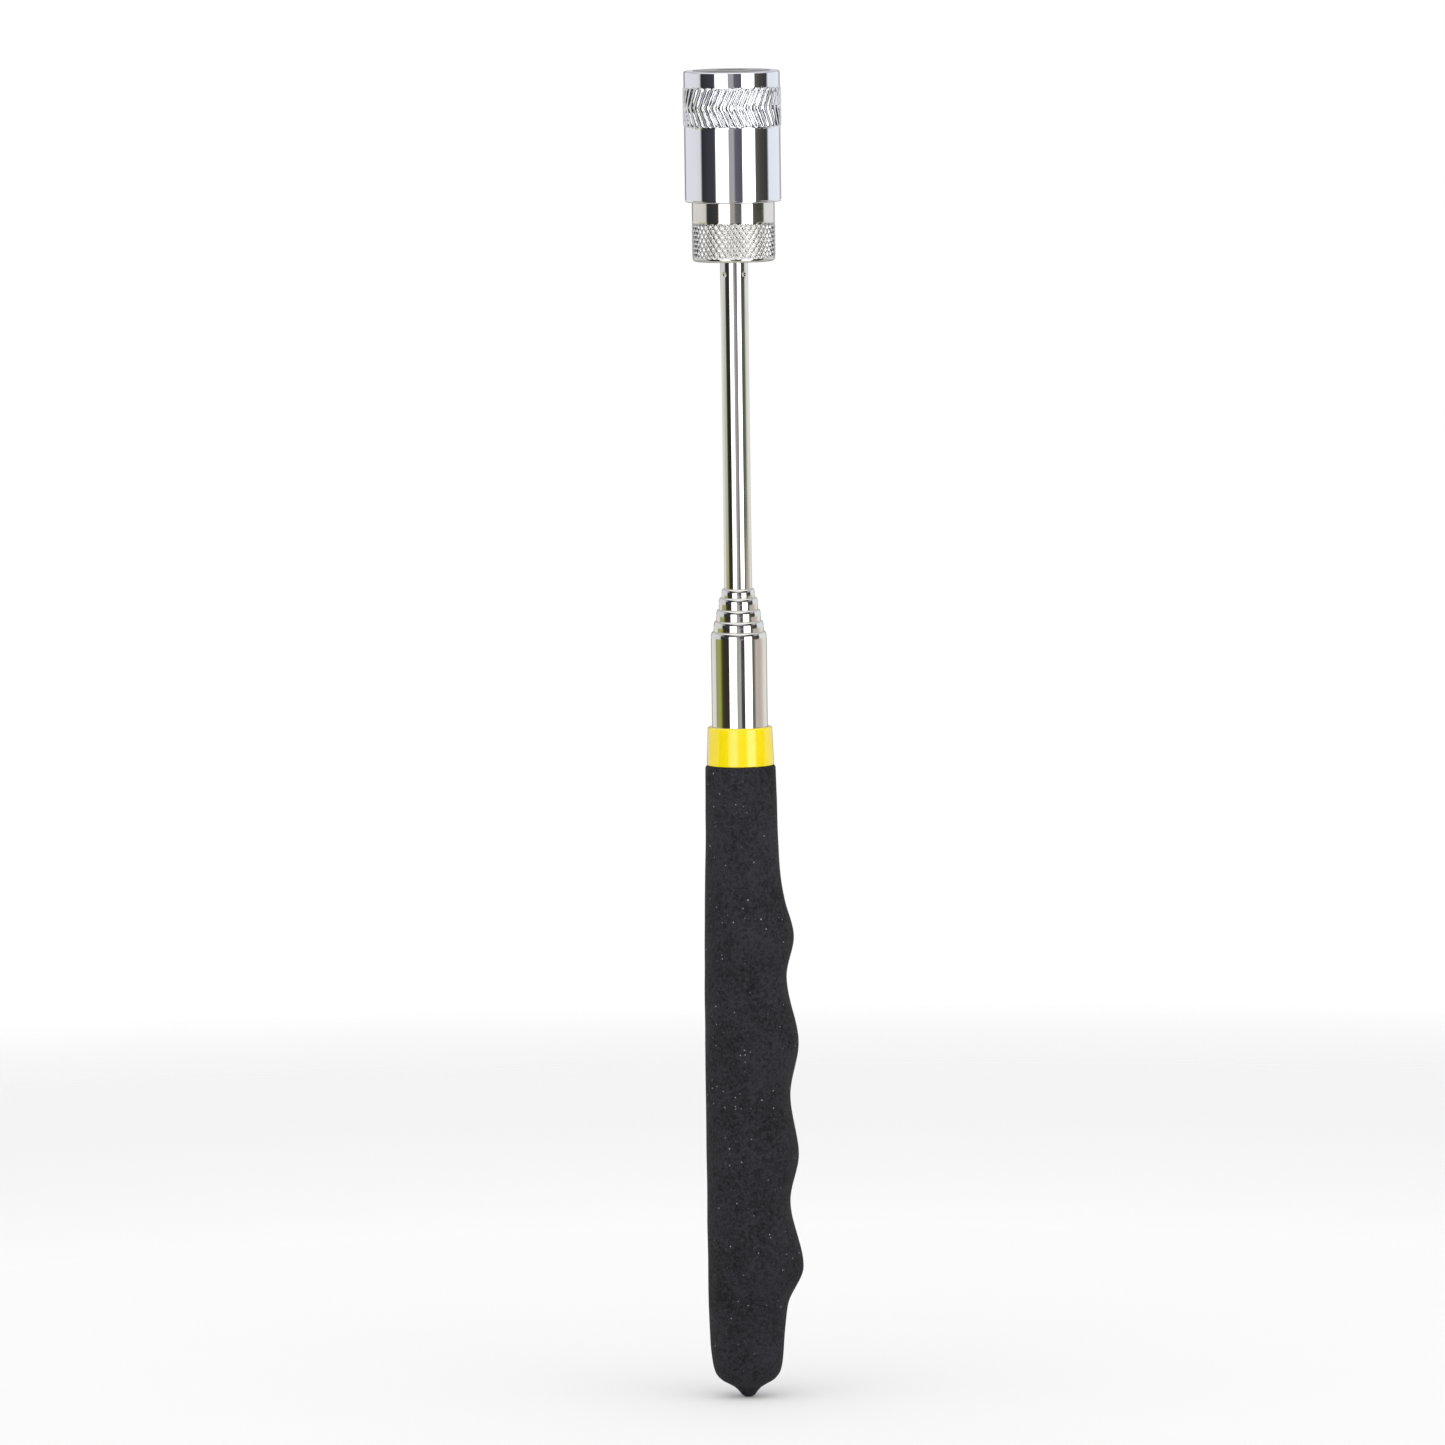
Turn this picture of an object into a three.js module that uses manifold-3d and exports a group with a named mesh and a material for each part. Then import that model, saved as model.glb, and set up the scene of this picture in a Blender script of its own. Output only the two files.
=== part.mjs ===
// Telescopic magnetic pickup tool with a lighted head, in millimetres, +Z towards the magnet.
// Heights below are measured from the tip of the foam grip; the group is then lowered so that
// the origin is on the mast's axis where the hand holds the grip. The finger swells face +X.
import * as THREE from "three";
import { mergeVertices } from "three/addons/utils/BufferGeometryUtils.js";
import Module from "manifold-3d";

const wasm = await Module();
wasm.setup();

// Driving dimensions
const handHeight = 56; // the origin's height above the grip's tip
const ringSegments = 36;
const fineSegments = 60; // for the sleeve, the cap and the collar

// The tube set: outside diameters 10, 9, 8, 7, 6 and 5 mm
const outerDiameter = 10;
const diameterStep = 1;
const tubeWall = 0.25;
const slideGap = 0.05; // radial play between a moving tube and the mouth it runs in
const mouthHeights = { 6: 138.3, 5: 140.2, 4: 142.25, 3: 144.4, 2: 146.0 };
const mouthRoll = 1.1; // height of the rolled-in shoulder at each mouth
const mouthFullness = 2.6; // 2 is an ellipse; more is squarer
const lipHeight = 0.4; // the straight lip that guides the next tube
const boreTaper = 1.3;

// Stop bush and friction spring at the foot of every moving tube
const bushFlange = 0.9;
const bushHeight = 2.1;
const bushStagger = 2.2; // each foot stands on the bush of the next larger tube
const springLength = 6.2;
const beadHeight = 0.5;
const beadRise = 0.12;
const thinTubeOut = 58.5; // how far the thinnest tube is drawn out

// Foam grip: [height, radius] down its back and down its finger side
const gripTop = 114.25;
const gripBack = [
  [0, 0], [0.1, 0.7], [0.3, 1.1], [1, 1.65], [1.7, 2.35], [2.4, 3.5], [3, 4.6], [3.6, 5.3], [4.6, 5.95],
  [6.2, 6.35], [10, 6.75], [20, 7.0], [60, 7.0], [86, 6.8], [98, 6.5], [gripTop, 6.3],
];
const gripFingers = [
  [0, 0], [0.1, 0.7], [0.3, 1.1], [1, 1.65], [1.7, 2.3], [2.4, 3.4], [3, 4.5], [3.6, 5.15], [4.6, 5.8],
  [6.2, 6.2], [10, 6.6], [13, 6.85], [16.6, 7.3], [23.6, 10.2], [35.3, 8.0], [43.9, 9.6], [54.4, 8.2],
  [63.9, 9.8], [76, 7.8], [83.2, 9.2], [90, 7.6], [94, 7.0], [98, 6.7], [gripTop, 6.3],
];
const gripBoreFoot = 8.8;

// Collar in the grip's mouth
const collarTop = 121.2;
const collarRadii = { foot: 6.05, top: 5.78 };
const collarSpigot = { radius: 5.6, length: 4 };

// Switch cap at the top of the thinnest tube
const capFoot = 204.6;
const capRadius = 7.4;
const capBore = 6.3;
const capFloor = 1.8;
const crimpDrop = 2.4; // the crimps' depth below the cap
const capThread = { radius: 7.2, length: 6.2 };
const sealGroove = { depth: 0.5, foot: 0.8, height: 0.7 };
const neckScrew = { radius: 1.5, head: 2.6, headHeight: 1.5, length: 5.6 };

// Head sleeve, magnet and light
const sleeveFoot = 215.25;
const sleeveTop = 238.65;
const sleeveRadius = 8.6;
const knurlRise = 0.2;
const knurlBand = { foot: 228.6, top: 235.8 };
const sleeveThreadBore = 7.35;
const sleeveWaist = 6.6;
const pocketRadius = 7.05;
const pocketFoot = 226.4;
const magnetTop = 238.75;
const magnetHeight = 8.15;
const magnetRadii = { outer: 6.95, bore: 2.75 };
const boardThickness = 1;
const lamp = { radius: 2.5, flange: 2.9, flangeHeight: 1, height: 8.6, leadSpacing: 2.54 };

// Button cells, 11.6 by 5.4 mm
const cellRadius = 5.8;
const cellHeight = 5.4;
const cellCount = 3;
const cellPitch = 5.45;

// Derived sizes
const tubeNumbers = [1, 2, 3, 4, 5];
const tubeRadius = (k) => (outerDiameter - (6 - k) * diameterStep) / 2;
const plugTop = 11.1;
const footHeight = (k) => plugTop + 0.1 + (5 - k) * bushStagger + (k === 1 ? thinTubeOut : 0);
const capShoulder = sleeveFoot - 0.05;
const floorTop = capFoot + capFloor;
const cellsFoot = floorTop + 2.45;
const boardFoot = pocketFoot + 0.05;
const magnetFoot = magnetTop - magnetHeight;
const lampFoot = magnetFoot - 1.2;

const finishes = {
  foam: [0x2b2b2e, 0.9, 0],
  yellow: [0xf4dc10, 0.22, 0],
  nickel: [0xd6d4cd, 0.14, 1],
  chrome: [0xe4e6ea, 0.06, 1],
  steel: [0xb4b4b2, 0.3, 1],
  brass: [0xc9a227, 0.3, 1],
  bronze: [0xb08050, 0.35, 1],
  blackPlastic: [0x1d1d1f, 0.5, 0],
  greenBoard: [0x1f6b3a, 0.5, 0],
  clear: [0xf2f4f6, 0.08, 0],
  rubber: [0x141414, 0.8, 0],
};

const tool = new THREE.Group();
tool.name = "pickup_tool";
tool.position.z = -handHeight;

function addPiece(name, geometry, finish) {
  const [color, roughness, metalness] = finishes[finish];
  const material = new THREE.MeshStandardMaterial({ color, roughness, metalness });
  material.name = finish;
  const mesh = new THREE.Mesh(geometry, material);
  mesh.name = name;
  tool.add(mesh);
}

// Turned about +Z from [radius, height] points: up the outside, down the bore.
function turned(points, segments = ringSegments) {
  const profile = points.map(([r, z]) => new THREE.Vector2(r, z));
  return new THREE.LatheGeometry(profile, segments).rotateX(Math.PI / 2);
}

// A turned ring: the profile closes on its first point.
function turnedRing(points, segments) {
  return turned([...points, points[0]], segments);
}

function cylinder(radius, foot, top) {
  return turned([[0, foot], [radius, foot], [radius, top], [0, top]]);
}

function solidOf(geometry) {
  const g = geometry.index ? geometry.toNonIndexed() : geometry.clone();
  g.deleteAttribute("normal");
  g.deleteAttribute("uv");
  const merged = mergeVertices(g, 1e-4);
  return new wasm.Manifold(new wasm.Mesh({
    numProp: 3,
    vertProperties: merged.attributes.position.array,
    triVerts: new Uint32Array(merged.index.array),
  }));
}

function geometryOf(solid) {
  const mesh = solid.getMesh();
  const geometry = new THREE.BufferGeometry();
  geometry.setAttribute("position", new THREE.BufferAttribute(mesh.vertProperties, 3));
  geometry.setIndex(new THREE.BufferAttribute(mesh.triVerts, 1));
  return geometry;
}

function cut(geometry, ...tools) {
  return geometryOf(tools.reduce((solid, t) => solid.subtract(solidOf(t)), solidOf(geometry)));
}

// A smooth curve through [height, radius] points that never overshoots them.
function smoothThrough(keys) {
  const slopes = keys.map(([z, r], i) => {
    if (i === 0 || i === keys.length - 1) return null;
    const before = (r - keys[i - 1][1]) / (z - keys[i - 1][0]);
    const after = (keys[i + 1][1] - r) / (keys[i + 1][0] - z);
    return before * after <= 0 ? 0 : (2 * before * after) / (before + after);
  });
  const rise = (i) => (keys[i + 1][1] - keys[i][1]) / (keys[i + 1][0] - keys[i][0]);
  slopes[0] = rise(0);
  slopes[keys.length - 1] = rise(keys.length - 2);
  return (z) => {
    const i = Math.min(keys.length - 2, Math.max(0, keys.findIndex((k) => k[0] >= z) - 1));
    const span = keys[i + 1][0] - keys[i][0];
    const t = (z - keys[i][0]) / span;
    return (
      keys[i][1] * (1 + 2 * t) * (1 - t) ** 2 + slopes[i] * span * t * (1 - t) ** 2 +
      keys[i + 1][1] * t * t * (3 - 2 * t) + slopes[i + 1] * span * t * t * (t - 1)
    );
  };
}

// The grip is round at its back and swells towards +X under the fingers.
function foamGrip() {
  const back = smoothThrough(gripBack);
  const fingers = smoothThrough(gripFingers);
  const heights = [0.1, 0.3, 1, 1.7, 2.4, 3, 3.6, 4.6, 6.2, 8, 10, 13];
  for (let z = 16; z < gripTop - 3; z += 2.4) heights.push(z);
  heights.push(gripTop - 0.5);
  const rows = heights.map((z) => [1, z]);
  const shell = turned([[0, 0], ...rows, [0.94, gripTop], [0, gripTop]]);
  const position = shell.attributes.position;
  const point = new THREE.Vector3();
  for (let i = 0; i < position.count; i++) {
    point.fromBufferAttribute(position, i);
    const share = Math.hypot(point.x, point.y);
    if (share < 1e-6) continue;
    const side = ((1 + point.x / share) / 2) ** 1.15;
    const radius = back(point.z) + (fingers(point.z) - back(point.z)) * side;
    position.setXY(i, point.x * radius, point.y * radius);
  }
  const bore = cylinder(outerDiameter / 2 + slideGap, gripBoreFoot, gripTop + 1);
  const mouth = cylinder(collarSpigot.radius + slideGap, gripTop - collarSpigot.length, gripTop + 1);
  addPiece("foam_grip", cut(shell, bore, mouth), "foam");
}

function collar() {
  const bore = outerDiameter / 2 + slideGap;
  const { foot, top } = collarRadii;
  addPiece("collar", turnedRing([
    [bore, gripTop - collarSpigot.length + 0.1],
    [collarSpigot.radius, gripTop - collarSpigot.length + 0.1],
    [collarSpigot.radius, gripTop + slideGap],
    [foot - 0.1, gripTop + slideGap],
    [foot, gripTop + 0.25],
    [top, collarTop - 0.45],
    [top - 0.12, collarTop - 0.12],
    [top - 0.4, collarTop],
    [bore, collarTop],
  ], fineSegments), "yellow");
}

// [radius, height] points over the rolled-in mouth, a full rounded shoulder, and down into the bore.
function mouthPoints(radius, top) {
  const lip = radius - diameterStep / 2 + slideGap;
  const shoulder = [0, 22.5, 45, 67.5, 90].map((degrees) => {
    const angle = THREE.MathUtils.degToRad(degrees);
    const inward = Math.max(0, Math.cos(angle)) ** (2 / mouthFullness);
    const upward = Math.sin(angle) ** (2 / mouthFullness);
    return [lip + (radius - lip) * inward, top - mouthRoll * (1 - upward)];
  });
  return [...shoulder, [lip, top - lipHeight], [radius - tubeWall, top - boreTaper]];
}

function outerTube() {
  const radius = tubeRadius(6);
  const foot = plugTop - 1.55;
  addPiece("tube_6", turnedRing([
    [radius - tubeWall, foot], [radius, foot], ...mouthPoints(radius, mouthHeights[6]),
  ]), "nickel");
  addPiece("tube_plug", turned([
    [0, gripBoreFoot + 0.1], [radius, gripBoreFoot + 0.1], [radius, foot - slideGap],
    [radius - tubeWall - slideGap, foot - slideGap], [radius - tubeWall - slideGap, plugTop],
    [0, plugTop],
  ]), "blackPlastic");
}

function tubeFootPoints(k) {
  const radius = tubeRadius(k);
  const foot = footHeight(k) + bushFlange + 0.02;
  const bead = footHeight(k) + bushFlange + springLength + 0.5;
  return [
    [radius - tubeWall, foot],
    [radius, foot],
    [radius, bead],
    [radius + beadRise, bead + 0.2 * beadHeight],
    [radius + beadRise, bead + 0.8 * beadHeight],
    [radius, bead + beadHeight],
  ];
}

function movingTube(k) {
  addPiece(
    "tube_" + k,
    turnedRing([...tubeFootPoints(k), ...mouthPoints(tubeRadius(k), mouthHeights[k])]),
    "nickel",
  );
}

// Balls that press the four crimps into a round piece under the head.
function crimps(ballRadius, reach) {
  return [45, 135, 225, 315].map((degrees) =>
    new THREE.SphereGeometry(ballRadius, 14, 8)
      .translate(reach, 0, capFoot - crimpDrop)
      .rotateZ(THREE.MathUtils.degToRad(degrees)));
}

// The thinnest tube ends in the cap's floor and is crimped onto the neck plug.
function thinTube() {
  const radius = tubeRadius(1);
  const top = capFoot + 0.6;
  const tube = turnedRing([
    ...tubeFootPoints(1), [radius, top], [radius - tubeWall, top],
  ]);
  addPiece("tube_1", cut(tube, ...crimps(0.7, radius + 0.52)), "nickel");
}

function stopBush(k) {
  const radius = tubeRadius(k);
  const foot = footHeight(k);
  const spigot = radius - tubeWall - 0.02;
  addPiece("bush_" + k, turnedRing([
    [0.8, foot],
    [radius + 0.2, foot],
    [radius + 0.2, foot + bushFlange],
    [spigot, foot + bushFlange],
    [spigot, foot + bushHeight],
    [0.8, foot + bushHeight],
  ]), "brass");
}

// Split spring sleeve in the gap between two tubes, open towards -X.
function frictionSpring(k) {
  const inner = tubeRadius(k) + 0.03;
  const outer = tubeRadius(k) + 0.2;
  const halfSlot = THREE.MathUtils.degToRad(20);
  const shape = new THREE.Shape();
  shape.absarc(0, 0, outer, -Math.PI + halfSlot, Math.PI - halfSlot, false);
  shape.absarc(0, 0, inner, Math.PI - halfSlot, -Math.PI + halfSlot, true);
  const sleeve = new THREE.ExtrudeGeometry(shape, {
    depth: springLength, bevelEnabled: false, curveSegments: 24,
  });
  sleeve.translate(0, 0, footHeight(k) + bushFlange + 0.2);
  addPiece("spring_" + k, sleeve, "bronze");
}

function neck() {
  const plug = tubeRadius(1) - tubeWall - slideGap;
  const top = capFoot + 0.55;
  addPiece("neck_plug", cut(
    cylinder(plug, capFoot - 8.5, top),
    cylinder(neckScrew.radius + slideGap, capFoot - neckScrew.length + 1, top + 1),
    ...crimps(0.8, plug + 0.7),
  ), "steel");
  addPiece("neck_screw", turned([
    [0, capFoot - neckScrew.length + 1.2],
    [neckScrew.radius, capFoot - neckScrew.length + 1.2],
    [neckScrew.radius, floorTop + slideGap],
    [neckScrew.head, floorTop + slideGap],
    [neckScrew.head, floorTop + 0.7 * neckScrew.headHeight],
    [0.6 * neckScrew.head, floorTop + neckScrew.headHeight],
    [0, floorTop + neckScrew.headHeight],
  ]), "steel");
}

function switchCap() {
  const screwHole = neckScrew.radius + 0.1;
  const grooveFoot = capShoulder + sealGroove.foot;
  addPiece("switch_cap", turnedRing([
    [tubeRadius(1) + slideGap, capFoot],
    [capRadius - 0.6, capFoot],
    [capRadius - 0.18, capFoot + 0.18],
    [capRadius, capFoot + 0.6],
    [capRadius, capShoulder],
    [capThread.radius, capShoulder],
    [capThread.radius, grooveFoot],
    [capThread.radius - sealGroove.depth, grooveFoot],
    [capThread.radius - sealGroove.depth, grooveFoot + sealGroove.height],
    [capThread.radius, grooveFoot + sealGroove.height],
    [capThread.radius, capShoulder + capThread.length],
    [capBore, capShoulder + capThread.length],
    [capBore, floorTop],
    [screwHole, floorTop],
    [screwHole, capFoot + 0.65],
    [tubeRadius(1) + slideGap, capFoot + 0.65],
  ], fineSegments), "nickel");
  const middle = grooveFoot + sealGroove.height / 2;
  const half = sealGroove.height / 2 - 0.06;
  const inner = capThread.radius - sealGroove.depth + 0.03;
  const outer = sleeveThreadBore - 0.05;
  addPiece("seal_ring", turnedRing([
    [inner, middle - 0.4 * half], [inner + 0.15, middle - half], [outer - 0.15, middle - half],
    [outer, middle - 0.4 * half], [outer, middle + 0.4 * half], [outer - 0.15, middle + half],
    [inner + 0.15, middle + half], [inner, middle + 0.4 * half],
  ]), "rubber");
}

// Conical coil between the cap's floor and the first cell.
class ConeCoil extends THREE.Curve {
  getPoint(t) {
    const angle = t * 2.5 * 2 * Math.PI;
    const radius = 5.2 - 2.0 * t;
    return new THREE.Vector3(
      radius * Math.cos(angle), radius * Math.sin(angle), floorTop + 0.3 + 1.85 * t,
    );
  }
}

function contactSpring() {
  const wire = new THREE.Shape().absarc(0, 0, 0.22, 0, 2 * Math.PI, false);
  addPiece("contact_spring", new THREE.ExtrudeGeometry(wire, {
    steps: 60, extrudePath: new ConeCoil(), curveSegments: 3, bevelEnabled: false,
  }), "steel");
}

function cells() {
  for (let i = 0; i < cellCount; i++) {
    const foot = cellsFoot + i * cellPitch;
    addPiece("cell_" + (i + 1), turned([
      [0, foot], [0.78 * cellRadius, foot], [0.8 * cellRadius, foot + 0.35],
      [cellRadius, foot + 0.5], [cellRadius, foot + cellHeight], [0, foot + cellHeight],
    ]), "steel");
  }
  const top = cellsFoot + cellCount * cellPitch;
  addPiece("cell_liner", turnedRing([
    [cellRadius + 0.1, cellsFoot], [capBore - 0.1, cellsFoot],
    [capBore - 0.1, top - 0.3], [cellRadius + 0.1, top - 0.3],
  ]), "blackPlastic");
}

function headSleeve() {
  const { foot, top } = knurlBand;
  addPiece("head_sleeve", turnedRing([
    [sleeveThreadBore, sleeveFoot],
    [sleeveRadius - 0.25, sleeveFoot],
    [sleeveRadius, sleeveFoot + 0.25],
    [sleeveRadius, foot],
    [sleeveRadius + knurlRise, foot + knurlRise],
    [sleeveRadius + knurlRise, top - knurlRise],
    [sleeveRadius, top],
    [sleeveRadius, sleeveTop - 0.4],
    [sleeveRadius - 0.12, sleeveTop - 0.12],
    [sleeveRadius - 0.4, sleeveTop],
    [pocketRadius + 0.2, sleeveTop],
    [pocketRadius, sleeveTop - 0.2],
    [pocketRadius, pocketFoot],
    [sleeveWaist, pocketFoot],
    [sleeveWaist, sleeveFoot + capThread.length + 0.8],
    [sleeveThreadBore, sleeveFoot + capThread.length + 0.8],
  ], fineSegments), "chrome");
}

function magnet() {
  const { outer, bore } = magnetRadii;
  addPiece("magnet", turnedRing([
    [bore, magnetFoot], [outer - 0.2, magnetFoot], [outer, magnetFoot + 0.2],
    [outer, magnetTop - 0.25], [outer - 0.25, magnetTop], [bore + 0.25, magnetTop],
    [bore, magnetTop - 0.25],
  ], fineSegments), "steel");
}

function lampParts() {
  const { radius, flange, flangeHeight, height, leadSpacing } = lamp;
  const domeFoot = lampFoot + height - radius;
  const dome = [0, 18, 36, 54, 72].map((a) => {
    const angle = THREE.MathUtils.degToRad(a);
    return [radius * Math.cos(angle), domeFoot + radius * Math.sin(angle)];
  });
  addPiece("lamp", turned([
    [0, lampFoot], [flange, lampFoot], [flange, lampFoot + flangeHeight],
    [radius, lampFoot + flangeHeight], ...dome, [0, lampFoot + height],
  ]), "clear");

  const boardTop = boardFoot + boardThickness;
  const lead = lampFoot - boardTop - 0.1;
  for (const [name, side] of [["lamp_lead_1", -1], ["lamp_lead_2", 1]]) {
    addPiece(name, new THREE.BoxGeometry(0.5, 0.5, lead)
      .translate((side * leadSpacing) / 2, 0, boardTop + 0.05 + lead / 2), "steel");
  }

  const holderFoot = boardTop + 0.05;
  const seat = lampFoot - 0.05;
  const holder = turnedRing([
    [0.7, holderFoot], [pocketRadius - 0.05, holderFoot], [pocketRadius - 0.05, magnetFoot - 0.05],
    [flange + 0.1, magnetFoot - 0.05], [flange + 0.1, seat], [0.7, seat],
  ]);
  const leadHoles = [-1, 1].map((side) =>
    cylinder(0.42, holderFoot - 1, seat + 0.5).translate((side * leadSpacing) / 2, 0, 0));
  addPiece("lamp_holder", cut(holder, ...leadHoles), "blackPlastic");

  addPiece("contact_board", turnedRing([
    [0.6, boardFoot], [pocketRadius - 0.05, boardFoot], [pocketRadius - 0.05, boardTop],
    [0.6, boardTop],
  ]), "greenBoard");
  addPiece("contact_stud", turned([
    [0, boardFoot - 1.15], [1.2, boardFoot - 1.15], [1.6, boardFoot - 0.8],
    [1.6, boardFoot - slideGap], [0.5, boardFoot - slideGap], [0.5, boardTop + 0.15],
    [0, boardTop + 0.15],
  ]), "brass");
}

foamGrip();
collar();
outerTube();
for (const k of tubeNumbers) {
  if (k === 1) thinTube();
  else movingTube(k);
  stopBush(k);
  frictionSpring(k);
}
neck();
switchCap();
contactSpring();
cells();
headSleeve();
magnet();
lampParts();

export default tool;
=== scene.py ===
import bpy
import bmesh
import math
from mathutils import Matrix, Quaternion, Vector, noise


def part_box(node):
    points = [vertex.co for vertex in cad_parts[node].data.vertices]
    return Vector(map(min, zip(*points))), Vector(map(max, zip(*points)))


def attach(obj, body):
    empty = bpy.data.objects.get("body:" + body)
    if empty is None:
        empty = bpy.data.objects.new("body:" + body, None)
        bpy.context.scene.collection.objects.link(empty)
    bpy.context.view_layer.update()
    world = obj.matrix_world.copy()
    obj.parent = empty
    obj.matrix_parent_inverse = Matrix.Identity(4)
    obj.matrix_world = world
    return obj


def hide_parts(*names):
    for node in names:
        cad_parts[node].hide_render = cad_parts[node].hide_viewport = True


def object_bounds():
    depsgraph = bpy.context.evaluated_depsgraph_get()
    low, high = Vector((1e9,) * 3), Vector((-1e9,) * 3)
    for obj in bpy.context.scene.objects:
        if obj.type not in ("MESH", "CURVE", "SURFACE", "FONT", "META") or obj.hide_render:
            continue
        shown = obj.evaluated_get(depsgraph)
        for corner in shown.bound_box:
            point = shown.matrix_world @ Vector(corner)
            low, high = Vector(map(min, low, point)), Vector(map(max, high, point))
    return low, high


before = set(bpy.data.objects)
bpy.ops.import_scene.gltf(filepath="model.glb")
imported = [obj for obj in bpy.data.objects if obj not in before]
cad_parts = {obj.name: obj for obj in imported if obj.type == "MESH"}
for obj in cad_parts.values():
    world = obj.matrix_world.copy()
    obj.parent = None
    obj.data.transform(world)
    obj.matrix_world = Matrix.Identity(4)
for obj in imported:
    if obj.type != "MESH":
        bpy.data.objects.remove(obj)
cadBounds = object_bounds()
mm = 0.001
tipHeight = cadBounds[0].z  # the grip's tip, which the tool stands on


def aboveTip(z):
    return (z - tipHeight) / mm  # a height in metres as millimetres above the tip


def footAndTop(node):
    low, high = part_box(node)
    return aboveTip(low.z), aboveTip(high.z)


def linearColor(hexCode, alpha=1.0):
    channels = [int(hexCode[i:i + 2], 16) / 255 for i in (0, 2, 4)]
    return [c / 12.92 if c <= 0.04045 else ((c + 0.055) / 1.055) ** 2.4 for c in channels] + [alpha]


def smoothStep(low, high, value):
    t = min(1.0, max(0.0, (value - low) / (high - low)))
    return t * t * (3 - 2 * t)


def addNode(tree, kind, settings=None, links=None):
    node = tree.nodes.new(kind)
    for key, value in (settings or {}).items():
        if isinstance(key, int) or key in node.inputs:
            node.inputs[key].default_value = value
        else:
            setattr(node, key, value)
    for socket, source in (links or {}).items():
        tree.links.new(source, node.inputs[socket])
    return node


def startMaterial(name):
    material = bpy.data.materials.new(name)
    material.use_nodes = True
    tree = material.node_tree
    shader = tree.nodes["Principled BSDF"]
    place = addNode(tree, "ShaderNodeTexCoord").outputs["Object"]
    return material, tree, shader, place


def setRamp(node, stops):
    ramp = node.color_ramp
    while len(ramp.elements) > 1:
        ramp.elements.remove(ramp.elements[-1])
    ramp.elements[0].position, ramp.elements[0].color = stops[0]
    for position, color in stops[1:]:
        ramp.elements.new(position).color = color


turning = dict(cornerSteps=4, longRun=1.2, holdingRow=0.2, sameSpot=0.002)


# Turns a profile of (radius, height, rounding) corners, in mm, about the mast's axis.
def turnProfile(corners, steps, closed=True):
    bm = bmesh.new()
    verts = [bm.verts.new((c[0] * mm, 0, tipHeight + c[1] * mm)) for c in corners]
    for a, b in zip(verts, verts[1:]):
        bm.edges.new((a, b))
    if closed:
        bm.edges.new((verts[-1], verts[0]))
    roundings = {}
    for vert, corner in zip(verts, corners):
        if len(corner) > 2:
            roundings.setdefault(corner[2], []).append(vert)
    for rounding, corner in roundings.items():
        bmesh.ops.bevel(bm, geom=corner, offset=rounding * mm, offset_type="OFFSET",
                        affect="VERTICES", segments=turning["cornerSteps"], profile=0.5, material=-1)
    # a row close to each end of a long straight run, so that its shading stays true
    for edge in [e for e in bm.edges if e.calc_length() > turning["longRun"] * mm]:
        start, end = edge.verts
        share = turning["holdingRow"] * mm / edge.calc_length()
        held = bmesh.utils.edge_split(edge, start, share)[1]
        rest = next(e for e in held.link_edges if end in e.verts)
        bmesh.utils.edge_split(rest, end, share / (1 - share))
    bmesh.ops.spin(bm, geom=bm.verts[:] + bm.edges[:], cent=(0, 0, 0), axis=(0, 0, 1),
                   dvec=(0, 0, 0), angle=2 * math.pi, steps=steps, use_merge=True)
    bmesh.ops.remove_doubles(bm, verts=bm.verts, dist=turning["sameSpot"] * mm)
    bmesh.ops.recalc_face_normals(bm, faces=bm.faces)
    return bm


def finishPiece(name, bm, material, body, nodes=(), creaseDegrees=38):
    for face in bm.faces:
        face.smooth = True
    for edge in bm.edges:
        edge.smooth = len(edge.link_faces) == 2 and edge.calc_face_angle(0) < math.radians(creaseDegrees)
    mesh = bpy.data.meshes.new(name)
    bm.to_mesh(mesh)
    bm.free()
    piece = bpy.data.objects.new(name, mesh)
    bpy.context.scene.collection.objects.link(piece)
    for each in material if isinstance(material, list) else [material]:
        mesh.materials.append(each)
    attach(piece, body)
    if nodes:
        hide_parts(*nodes)
    return piece


print("materials")


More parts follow.
